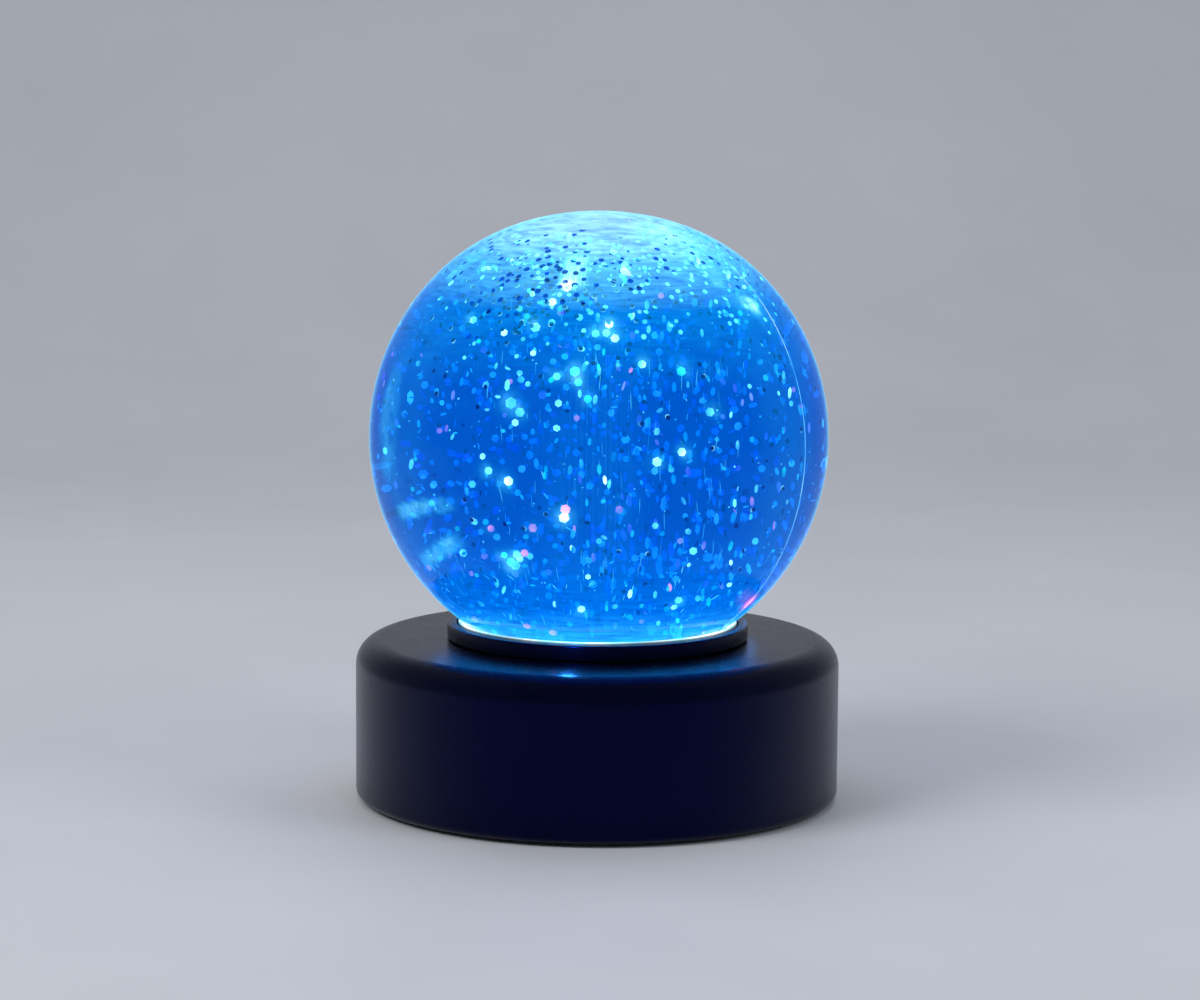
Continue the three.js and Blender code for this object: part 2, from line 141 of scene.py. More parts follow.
def meridian(r, stop, n):
    end = 180 - math.degrees(math.asin(stop / r))
    out = []
    for k in range(n + 1):
        t = end * k / n
        drop = POLE_DROP * math.cos(math.radians(90 * t / POLE_SPAN)) ** 2 if t < POLE_SPAN else 0
        out.append(((r - drop) * math.sin(math.radians(t)) if k else 0.0, GZ + (r - drop) * math.cos(math.radians(t))))
    return out


# ---------------------------------------------------------------- material helpers
def material(name):
    m = bpy.data.materials.new(name)
    m.use_nodes = True
    nt = m.node_tree
    return m, nt, nt.nodes["Principled BSDF"]


def node(nt, kind, **values):
    n = nt.nodes.new(kind)
    for k, v in values.items():
        if hasattr(n, k):
            setattr(n, k, v)
    return n


def noise(nt, scale, detail=3.0, rough=0.55, stretch=None):
    co = node(nt, "ShaderNodeTexCoord")
    out = co.outputs["Object"]
    if stretch:
        mp = node(nt, "ShaderNodeMapping")
        mp.inputs["Scale"].default_value = stretch
        nt.links.new(out, mp.inputs["Vector"])
        out = mp.outputs[0]
    n = node(nt, "ShaderNodeTexNoise")
    n.inputs["Scale"].default_value = scale
    n.inputs["Detail"].default_value = detail
    n.inputs["Roughness"].default_value = rough
    nt.links.new(out, n.inputs["Vector"])
    return n.outputs["Fac"]


def ramp(nt, fac, stops):
    r = node(nt, "ShaderNodeValToRGB")
    e = r.color_ramp.elements
    while len(e) > 1:
        e.remove(e[-1])
    e[0].position, e[0].color = stops[0][0], (*stops[0][1], 1)
    for p, c in stops[1:]:
        x = e.new(p)
        x.color = (*c, 1)
    nt.links.new(fac, r.inputs["Fac"])
    return r.outputs["Color"]


def spread(nt, fac, lo, hi, a=0.3, b=0.7):
    m = node(nt, "ShaderNodeMapRange")
    m.inputs["From Min"].default_value, m.inputs["From Max"].default_value = a, b
    m.inputs["To Min"].default_value, m.inputs["To Max"].default_value = lo, hi
    nt.links.new(fac, m.inputs["Value"])
    return m.outputs["Result"]


def bump(nt, p, height, distance, strength=1.0):
    b = node(nt, "ShaderNodeBump")
    b.inputs["Strength"].default_value = strength
    b.inputs["Distance"].default_value = distance
    nt.links.new(height, b.inputs["Height"])
    nt.links.new(b.outputs["Normal"], p.inputs["Normal"])


def plain(name, colour, rough, metal=0.0, vary=0.18, grain=2600, depth=0.00004, blotch=60, rough_by=0.08, coat=0.0, emit=None, power=0.0):
    """A moulded or plated surface: its colour drifts slowly, its gloss varies, and it has a fine grain."""
    m, nt, p = material(name)
    dark = tuple(max(c * (1 - vary), 0) for c in colour)
    light = tuple(min(c * (1 + vary), 1) for c in colour)
    nt.links.new(ramp(nt, noise(nt, blotch, 4), [(0.3, dark), (0.7, light)]), p.inputs["Base Color"])
    nt.links.new(spread(nt, noise(nt, blotch * 2.3, 3), max(rough - rough_by, 0.02), min(rough + rough_by, 1)), p.inputs["Roughness"])
    p.inputs["Metallic"].default_value = metal
    p.inputs["Coat Weight"].default_value = coat
    if depth:
        bump(nt, p, noise(nt, grain, 2), depth)
    if emit:
        p.inputs["Emission Color"].default_value = (*emit, 1)
        p.inputs["Emission Strength"].default_value = power
    return m


# ---------------------------------------------------------------- materials
black_shell = plain("black_shell", (0.0012, 0.0012, 0.0036), 0.27, vary=0.3, grain=3400, depth=0.00002, rough_by=0.012)
black_shell.node_tree.nodes["Principled BSDF"].inputs["Specular IOR Level"].default_value = 0.36
# The blue specular tint is a painted reflection: it stands in for the lamp's blue light falling on the black base and
# collar.
black_shell.node_tree.nodes["Principled BSDF"].inputs["Specular Tint"].default_value = (0.08, 0.13, 1.0, 1)
black_cover = plain("black_cover", (0.010, 0.010, 0.011), 0.55, vary=0.06, grain=1500, depth=0.00006, rough_by=0.02)
rubber = plain("rubber", (0.02, 0.02, 0.02), 0.82, vary=0.3, grain=2200, depth=0.00005)
steel = plain("steel", (0.62, 0.62, 0.63), 0.28, 1.0, vary=0.08, grain=900, depth=0.00001, rough_by=0.1)
magnet_mat = plain("magnet", (0.6, 0.6, 0.62), 0.18, 1.0, vary=0.05, grain=900, depth=0.000005)
switch_mat = plain("switch_frame", (0.62, 0.62, 0.63), 0.32, 1.0, vary=0.08, grain=900, depth=0.00001, rough_by=0.1)
white_plastic = plain("white_plastic", (0.8, 0.82, 0.84), 0.42, vary=0.05)
board_mat = plain("circuit_board", (0.02, 0.16, 0.07), 0.38, vary=0.3, grain=1200, blotch=400, coat=0.3)
cell_mats = {}
for k, way in ((1, 1), (2, -1), (3, 1)):
    # Each cell: a dark printed wrap with a pale band, and bare steel at its nib and its flat end.
    cell = plain("cell_%d" % k, (0.07, 0.08, 0.095), 0.3, vary=0.2, grain=600, depth=0.000008, coat=0.4, rough_by=0.05)
    nt = cell.node_tree
    p = nt.nodes["Principled BSDF"]
    a, b = (c[0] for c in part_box("battery_%d" % k))
    co = node(nt, "ShaderNodeTexCoord")
    sep = node(nt, "ShaderNodeSeparateXYZ")
    nt.links.new(co.outputs["Object"], sep.inputs[0])
    along = spread(nt, sep.outputs["X"], 0, 1, a, b) if way > 0 else spread(nt, sep.outputs["X"], 1, 0, a, b)
    worn = node(nt, "ShaderNodeMath", operation="MULTIPLY_ADD")
    nt.links.new(noise(nt, 900, 3), worn.inputs[0])
    worn.inputs[1].default_value = 0.006
    nt.links.new(along, worn.inputs[2])
    wrap = ramp(nt, worn.outputs[0], [(0.0, (0.6, 0.6, 0.61)), (0.0075, (0.6, 0.6, 0.61)), (0.0085, (0.03, 0.035, 0.05)), (0.735, (0.035, 0.04, 0.055)), (0.738, (0.42, 0.44, 0.47)), (0.752, (0.42, 0.44, 0.47)), (0.755, (0.03, 0.035, 0.05)), (0.775, (0.035, 0.04, 0.055)), (0.778, (0.36, 0.39, 0.43)), (0.962, (0.40, 0.43, 0.46)), (0.968, (0.6, 0.6, 0.61))])
    nt.links.new(wrap, p.inputs["Base Color"])
    nt.links.new(ramp(nt, worn.outputs[0], [(0.0, (1, 1, 1)), (0.0075, (1, 1, 1)), (0.0085, (0.35, 0.35, 0.35)), (0.962, (0.35, 0.35, 0.35)), (0.968, (1, 1, 1))]), p.inputs["Metallic"])
    cell_mats["battery_%d" % k] = cell
red_lead = plain("red_lead", (0.5, 0.02, 0.02), 0.5, vary=0.15)
led_mat = plain("led", (0.85, 0.83, 0.5), 0.25, vary=0.08, emit=(0.25, 0.65, 1.0), power=4.0)
clear_inner = plain("clear_plastic_inner", (0.75, 0.92, 1.0), 0.22, vary=0.06, depth=0.00002)
clear_inner.node_tree.nodes["Principled BSDF"].inputs["Transmission Weight"].default_value = 1.0
clear_inner.node_tree.nodes["Principled BSDF"].inputs["IOR"].default_value = 1.49

# The steel frame of the slide switch has an opening, filled by the dark carrier under the knob.
nt = switch_mat.node_tree
p = nt.nodes["Principled BSDF"]
co = node(nt, "ShaderNodeTexCoord")
sep = node(nt, "ShaderNodeSeparateXYZ")
nt.links.new(co.outputs["Object"], sep.inputs[0])
inside = None
for axis, mid, half in ((0, 0.0, 0.0056), (1, 0.0594, 0.0009), (2, 0.015, 0.0021)):
    off = node(nt, "ShaderNodeMath", operation="COMPARE")
    nt.links.new(sep.outputs[axis], off.inputs[0])
    off.inputs[1].default_value, off.inputs[2].default_value = mid, half
    if inside is None:
        inside = off.outputs[0]
    else:
        both = node(nt, "ShaderNodeMath", operation="MULTIPLY")
        nt.links.new(inside, both.inputs[0])
        nt.links.new(off.outputs[0], both.inputs[1])
        inside = both.outputs[0]
nt.links.new(ramp(nt, inside, [(0.0, (0.62, 0.62, 0.63)), (1.0, (0.012, 0.011, 0.010))]), p.inputs["Base Color"])
nt.links.new(spread(nt, inside, 1.0, 0.0, 0.0, 1.0), p.inputs["Metallic"])

# Frosted plug over the LEDs: the light from beneath is painted on it as a blue glow.
plug_mat, nt, p = material("lit_plug")
nt.links.new(ramp(nt, noise(nt, 70, 3), [(0.3, (0.55, 0.85, 1.0)), (0.7, (0.75, 0.95, 1.0))]), p.inputs["Base Color"])
p.inputs["Roughness"].default_value = 0.4
nt.links.new(ramp(nt, noise(nt, 90, 2), [(0.3, (0.02, 0.45, 1.0)), (0.7, (0.12, 0.7, 1.0))]), p.inputs["Emission Color"])
p.inputs["Emission Strength"].default_value = 2.2

# The seal in the collar has a painted glow where the light leaks into it, strongest at its inner edge and over each
# LED.
gasket_mat, nt, p = material("lit_seal")
nt.links.new(ramp(nt, noise(nt, 260, 3), [(0.3, (0.012, 0.03, 0.05)), (0.7, (0.02, 0.045, 0.07))]), p.inputs["Base Color"])
p.inputs["Roughness"].default_value = 0.3
hot = node(nt, "ShaderNodeAttribute", attribute_name="painted_seal_glow")
nt.links.new(ramp(nt, noise(nt, 120, 3), [(0.3, (0.16, 0.66, 1.0)), (0.5, (0.48, 0.90, 1.0)), (0.7, (0.95, 1.0, 1.0))]), p.inputs["Emission Color"])
nt.links.new(hot.outputs["Fac"], p.inputs["Emission Strength"])
bump(nt, p, noise(nt, 900, 2), 0.00003)

# Clear moulded shell.
shell_mat, nt, p = material("clear_shell")
p.inputs["Base Color"].default_value = (0.93, 0.985, 1.0, 1)
p.inputs["Transmission Weight"].default_value = 1.0
p.inputs["IOR"].default_value = 1.05
p.inputs["Specular IOR Level"].default_value = 0.3
nt.links.new(spread(nt, noise(nt, 35, 3), 0.0, 0.03), p.inputs["Roughness"])
bump(nt, p, noise(nt, 22, 2), 0.00006, 0.35)
# Round the shell's edge as seen, a cyan glow is painted as emission, standing in for light that runs round the wall.
edge = node(nt, "ShaderNodeLayerWeight")
edge.inputs["Blend"].default_value = 0.5
painted_rim_glow = ramp(nt, edge.outputs["Facing"], [(0.0, (0, 0, 0)), (0.68, (0, 0, 0)), (0.82, (0.0, 0.04, 0.09)), (0.90, (0.02, 0.36, 0.52)), (1.0, (0.15, 0.8, 0.9))])
# A small pink glint is painted as glow on the wall low on the right, where the parting line crosses it.
co = node(nt, "ShaderNodeTexCoord")
away = node(nt, "ShaderNodeVectorMath", operation="DISTANCE")
nt.links.new(co.outputs["Object"], away.inputs[0])
away.inputs[1].default_value = (0.0389, -0.0220, 0.0554)
pink = ramp(nt, spread(nt, away.outputs["Value"], 0, 1, 0.0, 0.0040), [(0.0, (0.95, 0.12, 0.30)), (0.35, (0.50, 0.05, 0.16)), (0.7, (0.10, 0.01, 0.04)), (1.0, (0, 0, 0))])
lit = node(nt, "ShaderNodeVectorMath", operation="MULTIPLY_ADD")
nt.links.new(pink, lit.inputs[0])
lit.inputs[1].default_value = (3.0, 3.0, 3.0)
nt.links.new(painted_rim_glow, lit.inputs[2])
nt.links.new(lit.outputs[0], p.inputs["Emission Color"])
p.inputs["Emission Strength"].default_value = 0.5
nt.links.new(ramp(nt, edge.outputs["Facing"], [(0.0, (0.93, 0.985, 1.0)), (0.3, (0.93, 0.985, 1.0)), (0.55, (0.55, 0.86, 1.0)), (0.85, (0.25, 0.66, 1.0))]), p.inputs["Base Color"])
p.inputs["Specular Tint"].default_value = (0.1, 0.45, 1.0, 1)

# The raised parting line and mould mark: the light that runs round the shell and catches them is painted on as a cyan
# glow, over a blue base colour.
seam_mat, nt, p = material("shell_seam")
nt.links.new(ramp(nt, noise(nt, 80, 3), [(0.3, (0.01, 0.22, 0.62)), (0.7, (0.04, 0.38, 0.85))]), p.inputs["Base Color"])
p.inputs["Specular IOR Level"].default_value = 0.3
p.inputs["Specular Tint"].default_value = (0.1, 0.5, 1.0, 1)
p.inputs["Roughness"].default_value = 0.25
line = ramp(nt, noise(nt, 60, 3), [(0.35, (0.0, 0.25, 0.8)), (0.48, (0.12, 0.62, 1.0)), (0.64, (0.6, 0.97, 1.0))])
# Low on the right a pink glint is painted on the line.
co = node(nt, "ShaderNodeTexCoord")
sep = node(nt, "ShaderNodeSeparateXYZ")
nt.links.new(co.outputs["Object"], sep.inputs[0])
low = ramp(nt, spread(nt, sep.outputs["Z"], 0, 1, 0.0530, 0.0580), [(0.0, (0, 0, 0)), (0.28, (1, 1, 1)), (0.6, (1, 1, 1)), (1.0, (0, 0, 0))])
right = node(nt, "ShaderNodeMath", operation="GREATER_THAN")
nt.links.new(sep.outputs["X"], right.inputs[0])
right.inputs[1].default_value = 0.0
flash = node(nt, "ShaderNodeMath", operation="MULTIPLY")
nt.links.new(low, flash.inputs[0])
nt.links.new(right.outputs[0], flash.inputs[1])
tint = node(nt, "ShaderNodeMix", data_type="RGBA")
nt.links.new(flash.outputs[0], tint.inputs[0])
nt.links.new(line, tint.inputs[6])
tint.inputs[7].default_value = (1.0, 0.5, 0.72, 1)
nt.links.new(tint.outputs[2], p.inputs["Emission Color"])
power = node(nt, "ShaderNodeMath", operation="MULTIPLY_ADD")
nt.links.new(flash.outputs[0], power.inputs[0])
power.inputs[1].default_value = 3.0
power.inputs[2].default_value = 1.6
nt.links.new(power.outputs[0], p.inputs["Emission Strength"])

# The liquid: clear and blue by its depth; its light from below and its shine at the crown are painted as glow on its
# surface, with painted ripples in it.
liquid_mat, nt, p = material("lit_liquid")
p.inputs["Base Color"].default_value = (0.25, 0.78, 1.0, 1)
p.inputs["Transmission Weight"].default_value = 1.0
p.inputs["IOR"].default_value = 1.24
p.inputs["Specular IOR Level"].default_value = 0.15
p.inputs["Specular Tint"].default_value = (0.1, 0.45, 1.0, 1)
p.inputs["Roughness"].default_value = 0.0
co = node(nt, "ShaderNodeTexCoord")
sep = node(nt, "ShaderNodeSeparateXYZ")
nt.links.new(co.outputs["Object"], sep.inputs[0])
height = spread(nt, sep.outputs["Z"], 0, 1, 0.045, 0.153)
painted_height_glow = ramp(nt, height, [(0.0, (0.02, 0.42, 0.9)), (0.1, (0.0, 0.09, 0.28)), (0.3, (0.0, 0.01, 0.04)), (0.62, (0.0, 0.01, 0.04)), (0.80, (0.0, 0.11, 0.20)), (0.90, (0.11, 0.43, 0.48)), (0.955, (0.40, 0.77, 0.80)), (1.0, (0.68, 0.88, 0.88))])
rip = spread(nt, noise(nt, 190, 4, 0.62, stretch=(0.7, 1, 7)), 0.45, 1.5, 0.3, 0.7)
mul = node(nt, "ShaderNodeVectorMath", operation="SCALE")
nt.links.new(painted_height_glow, mul.inputs[0])
nt.links.new(rip, mul.inputs["Scale"])
# Painted reflections where each LED of the ring shows on the wall, with fine upright streaks in it.
patch = node(nt, "ShaderNodeAttribute", attribute_name="glow_patch")
turn = node(nt, "ShaderNodeMath", operation="ARCTAN2")
nt.links.new(sep.outputs["Y"], turn.inputs[0])
nt.links.new(sep.outputs["X"], turn.inputs[1])
lines = node(nt, "ShaderNodeTexNoise", noise_dimensions="1D")
lines.inputs["Scale"].default_value = 110
lines.inputs["Detail"].default_value = 3
lines.inputs["Roughness"].default_value = 0.7
nt.links.new(turn.outputs[0], lines.inputs["W"])
broken = spread(nt, noise(nt, 140, 3, 0.6), 0.6, 1.3, 0.3, 0.7)
fine = node(nt, "ShaderNodeMath", operation="MULTIPLY")
nt.links.new(spread(nt, lines.outputs["Fac"], 0.15, 1.8, 0.36, 0.64), fine.inputs[0])
nt.links.new(broken, fine.inputs[1])
streak = fine.outputs[0]
amount = node(nt, "ShaderNodeMath", operation="MULTIPLY")
nt.links.new(patch.outputs["Fac"], amount.inputs[0])
nt.links.new(streak, amount.inputs[1])
# A softer painted glow on the wall, mottled.
soft = node(nt, "ShaderNodeAttribute", attribute_name="painted_soft_glow")
mottle = spread(nt, noise(nt, 150, 5, 0.7), 0.1, 1.9, 0.3, 0.7)
softly = node(nt, "ShaderNodeMath", operation="MULTIPLY_ADD")
nt.links.new(soft.outputs["Fac"], softly.inputs[0])
nt.links.new(mottle, softly.inputs[1])
nt.links.new(amount.outputs[0], softly.inputs[2])
amount = softly
square = node(nt, "ShaderNodeMath", operation="MULTIPLY")
nt.links.new(amount.outputs[0], square.inputs[0])
nt.links.new(amount.outputs[0], square.inputs[1])
red = node(nt, "ShaderNodeMath", operation="MULTIPLY")
nt.links.new(square.outputs[0], red.inputs[0])
red.inputs[1].default_value = 0.32
green = node(nt, "ShaderNodeMath", operation="MULTIPLY")
nt.links.new(amount.outputs[0], green.inputs[0])
green.inputs[1].default_value = 0.80
patches = node(nt, "ShaderNodeCombineXYZ")
nt.links.new(red.outputs[0], patches.inputs[0])
nt.links.new(green.outputs[0], patches.inputs[1])
nt.links.new(amount.outputs[0], patches.inputs[2])
total = node(nt, "ShaderNodeVectorMath", operation="ADD")
nt.links.new(mul.outputs[0], total.inputs[0])
nt.links.new(patches.outputs[0], total.inputs[1])
# The flakes that crowd under the crown stand dark against its glow.
co2 = node(nt, "ShaderNodeTexCoord")
cells = node(nt, "ShaderNodeTexVoronoi", feature="F1")
cells.inputs["Scale"].default_value = 430
cells.inputs["Randomness"].default_value = 0.85
nt.links.new(co2.outputs["Object"], cells.inputs["Vector"])
dot = spread(nt, cells.outputs["Distance"], 0.95, 0.0, 0.33, 0.38)
crowd = node(nt, "ShaderNodeAttribute", attribute_name="crowd")
pick = node(nt, "ShaderNodeSeparateColor")
nt.links.new(cells.outputs["Color"], pick.inputs[0])
chance = node(nt, "ShaderNodeMath", operation="LESS_THAN")
nt.links.new(pick.outputs[0], chance.inputs[0])
nt.links.new(crowd.outputs["Fac"], chance.inputs[1])
cover = node(nt, "ShaderNodeMath", operation="MULTIPLY")
nt.links.new(dot, cover.inputs[0])
nt.links.new(chance.outputs[0], cover.inputs[1])
open_part = node(nt, "ShaderNodeMath", operation="SUBTRACT")
open_part.inputs[0].default_value = 1.0
nt.links.new(cover.outputs[0], open_part.inputs[1])
shown = node(nt, "ShaderNodeVectorMath", operation="SCALE")
nt.links.new(total.outputs[0], shown.inputs[0])
nt.links.new(open_part.outputs[0], shown.inputs["Scale"])
nt.links.new(shown.outputs[0], p.inputs["Emission Color"])
p.inputs["Emission Strength"].default_value = 1.0
# In its volume the liquid absorbs, and the LED light it scatters is painted as a blue emission.
absorb = node(nt, "ShaderNodeVolumeAbsorption")
absorb.inputs["Color"].default_value = (0.0, 0.58, 0.84, 1)
absorb.inputs["Density"].default_value = 80
glow = node(nt, "ShaderNodeEmission")
glow.inputs["Color"].default_value = (0.0, 0.36, 1.0, 1)
glow.inputs["Strength"].default_value = 7.3
both = node(nt, "ShaderNodeAddShader")
nt.links.new(absorb.outputs[0], both.inputs[0])
nt.links.new(glow.outputs[0], both.inputs[1])
nt.links.new(both.outputs[0], nt.nodes["Material Output"].inputs["Volume"])


# ---------------------------------------------------------------- the globe
SEAM = math.radians(-29.5)  # the direction of the parting line's front half, from +X
longs = turns(144)
extra = []
for s in (SEAM, SEAM + math.pi):
    longs = [a for a in longs if abs((a - s + math.pi) % (2 * math.pi) - math.pi) > math.radians(1.0)]
    extra += [s + math.radians(d) for d in (-0.28, -0.1, 0.1, 0.28)]
longs = sorted((a % (2 * math.pi)) for a in longs + extra)


def ridge(a, r, z):
    d = min(abs((a - s + math.pi) % (2 * math.pi) - math.pi) for s in (SEAM, SEAM + math.pi))
    return 0.07 if d < math.radians(0.15) and r > 33.5 + 0.01 or (d < math.radians(0.15) and z > GZ) else 0.0


outer = meridian(GR, 33.4, 72)
inner = meridian(GR - 2, 31, 60)[::-1]
prof = outer + [(33.4, 39.6), (31.0, 39.6)] + inner
v, f = revolve(prof, longs, lambda a, r, z: ridge(a, r, z) if r > 0 and (r * r + (z - GZ) ** 2) > 58.9**2 else 0)
shell = add("globe_shell_fine", v, f, [shell_mat, seam_mat])
me = shell.data
for poly in me.polygons:
    c = poly.center
    if math.hypot(c.x, c.y, c.z - GZ * MM) > 0.0588:
        a = math.atan2(c.y, c.x)
        if min(abs((a - s + math.pi) % (2 * math.pi) - math.pi) for s in (SEAM, SEAM + math.pi)) < math.radians(0.12):
            poly.material_index = 1
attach(shell, "lamp"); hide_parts("globe_shell")

# The flakes that flash brightest, near the front of the wall: azimuth, elevation, width in mm.
flashes = {
    "white": [(-102, 46.8, 2.0), (-79.2, 55.4, 1.6), (-79.8, 53.0, 2.0), (-75.4, 0.1, 2.2), (-113.1, -5.3, 2.2), (-68.9, 2.4, 2.0), (-85.5, 31.7, 2.0), (-87.1, 35.7, 2.0), (-109.8, 34.4, 2.3), (-106.2, 42.1, 2.0), (-132.7, 35.4, 1.9), (-145.5, 51.5, 1.6), (-78.3, 24.7, 1.9), (-98.8, -14.2, 2.4), (-62.3, -40.1, 1.9), (-95.6, -42.7, 1.9), (-112.4, -26.4, 1.7)],
    "green": [(-92.9, 15.8, 1.9), (-95.5, 20.0, 1.7), (-96.6, 22.8, 2.3), (-67.4, 22.6, 2.2), (-115.3, -27.6, 2.2), (-117.0, -25.6, 1.6)],
    "pink": [(-98.4, -12.0, 2.3), (-84.7, -11.9, 1.8), (-107.3, -17.3, 2.0), (-119.5, -18.2, 1.7), (-110.6, -24.6, 1.9), (-120.1, -51.5, 1.9), (-109.5, -54.0, 2.0), (-11.0, -46.0, 1.7)],
    "pale": [(-110.5, 12.0, 2.2), (-113.2, 14.2, 2.7), (-101.4, 21.4, 1.9), (-88.0, 33.2, 1.8), (-91.2, 33.0, 1.9), (-118.6, -3.0, 1.8), (-60.5, 12.0, 2.1), (-114.2, -28.5, 2.4), (-113.0, -25.2, 2.0)],
}

# The liquid fills the shell.
LR = 58.02
side = meridian(LR, 31.02, 130)
prof = side + [(31.02, 43.45), (30.6, 43.42), (0.0, 43.42)]
v, f = revolve(prof, turns(288))
liquid = add("globe_liquid_fine", v, f, liquid_mat)
LED_AT = [20 + 60 * k for k in range(6)]
co_ = np.array([q.co for q in liquid.data.vertices]) / MM - np.array([0, 0, GZ])
az = np.degrees(np.arctan2(co_[:, 1], co_[:, 0]))
el = np.degrees(np.arcsin(np.clip(co_[:, 2] / np.linalg.norm(co_, axis=1), -1, 1)))


def patch_at(a, e, wide, tall, lean=0.0, power=4):
    da = ((az - a + 180) % 360 - 180) * np.cos(np.radians(e))
    de = el - e
    t = math.radians(lean)
    x, y = da * math.cos(t) + de * math.sin(t), -da * math.sin(t) + de * math.cos(t)
    return np.exp(-np.minimum((x / wide) ** power + (y / tall) ** power, 60))


def blob(a, e, wide, tall):
    da = ((az - a + 180) % 360 - 180) * np.cos(np.radians(e))
    return np.exp(-((da / wide) ** 2) - ((el - e) / tall) ** 2)


# The painted glow on the liquid's wall, as weights per vertex: images of the LEDs, soft patches and blooms, and where
# the dark flakes crowd.
patch_w = np.zeros(len(co_))
soft_w = 0.012 + 0.03 * np.clip((el - 5) / 45, 0, 1)
crowd_w = 0.2 * np.clip((el - 36) / 12, 0, 1) * np.clip((72 - el) / 6, 0, 1)
for k, a in enumerate(LED_AT):
    near = 1.0 if k in (1, 4) else 0.3
    patch_w += near * (0.75 * patch_at(a, 52.2, 3.1, 6.2, 0, 8))
    soft_w += near * 1.1 * patch_at(a - 2, 46.9, 1.9, 1.5)
    patch_w += 0.042 * patch_at(a + 8, 0, 13, 34)
for a in (-32.6, 147.4):
    soft_w += 0.75 * patch_at(a, 39.2, 3.2, 2.4, -25) + 0.3 * blob(a, 39.2, 6, 4)
for a in (-158, 22):
    soft_w += 0.20 * patch_at(a, 5, 5.5, 14)
for a in (-143, 37):
    soft_w += 0.36 * patch_at(a, -14.6, 12.5, 1.9, 12, 6) + 0.38 * patch_at(a + 1.5, -26.5, 11.0, 2.1, 25, 6)
for a in (-38, 142):
    soft_w += 0.9 * blob(a, 70, 5.5, 4.5) + 0.25 * blob(a, 58, 14, 11)
for a in (-103, 77):
    soft_w += 0.12 * blob(a, 52, 17, 10)
    crowd_w += 1.0 * blob(a, 53, 16, 9.5) + 0.45 * blob(a - 12, 41, 15, 7)
# A soft bloom is painted on the wall over each of the flakes that flash brightest.
for kind, spots in flashes.items():
    for a, e, w in spots:
        q = 58.02 * np.array([math.cos(math.radians(e)) * math.cos(math.radians(a)), math.cos(math.radians(e)) * math.sin(math.radians(a)), math.sin(math.radians(e))])
        d = np.linalg.norm(co_ - q, axis=1)
        soft_w += {"white": 0.30, "green": 0.30, "pale": 0.26, "pink": 0.10}[kind] * np.exp(-((d / (0.95 * w)) ** 2))
at = liquid.data.attributes.new("painted_soft_glow", "FLOAT", "POINT")
at.data.foreach_set("value", soft_w.astype(np.float32))
crowd = liquid.data.attributes.new("crowd", "FLOAT", "POINT")
crowd.data.foreach_set("value", crowd_w.astype(np.float32))
attr = liquid.data.attributes.new("glow_patch", "FLOAT", "POINT")
attr.data.foreach_set("value", patch_w.astype(np.float32))
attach(liquid, "lamp"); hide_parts("globe_liquid")

# A round mould mark high on the globe, over the parting line.
mark_dir = Vector((math.cos(SEAM) * math.cos(math.radians(60.7)), math.sin(SEAM) * math.cos(math.radians(60.7)), math.sin(math.radians(60.7))))
side_a = Vector((0, 0, 1)).cross(mark_dir).normalized()
side_b = mark_dir.cross(side_a)
verts, faces = [], []
rings = [(7.4, 0.12), (6.2, 0.08), (4.6, 0.06), (2.6, 0.05)]
for rad, half in rings:
    base = len(verts)
    n = 72
    for k in range(n):
        a = 2 * math.pi * k / n
        for dr, lift in ((-half, -0.03), (0, 0.05), (half, -0.03), (0, -0.08)):
            t = (rad + dr) / GR
            d = (mark_dir * math.cos(t) + (side_a * math.cos(a) + side_b * math.sin(a)) * math.sin(t)).normalized()
            pol = math.degrees(math.acos(max(min(d.z, 1), -1)))
            drop = POLE_DROP * math.cos(math.radians(90 * pol / POLE_SPAN)) ** 2 if pol < POLE_SPAN else 0
            q = d * (GR - drop + lift) + Vector((0, 0, GZ))
            verts.append(q * MM)
    for k in range(n):
        j = (k + 1) % n
        for i in range(4):
            i2 = (i + 1) % 4
            faces.append((base + 4 * k + i, base + 4 * j + i, base + 4 * j + i2, base + 4 * k + i2))
mark = add("globe_mould_mark", verts, faces, seam_mat)
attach(mark, "lamp")


# ---------------------------------------------------------------- glitter
rng = np.random.default_rng(41)
CAM_BACK = np.array([0.0, -math.cos(ELEV), math.sin(ELEV)])


def unit(n):
    d = rng.normal(size=(n, 3))
    return d / np.linalg.norm(d, axis=1, keepdims=True)


def flakes(name, centres, normals, widths, mat_, thick=0.05, stretch=None, lean=0.08, along=None):
    """Closed hexagonal prisms, each lying across its normal."""
    n = len(centres)
    ref = unit(n)
    u = np.cross(normals, ref)
    u /= np.linalg.norm(u, axis=1, keepdims=True)
    w = np.cross(normals, u)
    if stretch is not None:  # long flakes stand along the given direction
        u = (np.tile(np.array([0.0, 0.0, 1.0]), (n, 1)) if along is None else along) + rng.normal(size=(n, 3)) * lean
        u -= (u * normals).sum(1, keepdims=True) * normals
        u /= np.linalg.norm(u, axis=1, keepdims=True)
        w = np.cross(normals, u)
    ang = np.arange(6) * math.pi / 3
    verts = np.empty((n, 12, 3))
    for k in range(6):
        ru = np.cos(ang[k]) * (stretch if stretch is not None else 1.0)
        p_ = centres + (u * ru + w * np.sin(ang[k])) * (widths / 2)[:, None]
        verts[:, k] = p_ + normals * thick / 2
        verts[:, k + 6] = p_ - normals * thick / 2
    faces = []
    for i in range(n):
        b = 12 * i
        faces.append([b + k for k in range(6)])
        faces.append([b + 11 - k for k in range(6)])
        for k in range(6):
            j = (k + 1) % 6
            faces.append((b + k, b + k + 6, b + j + 6, b + j))
    ob = add(name, verts.reshape(-1, 3) * MM, faces, mat_, smooth=False)
    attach(ob, "lamp")
    return ob


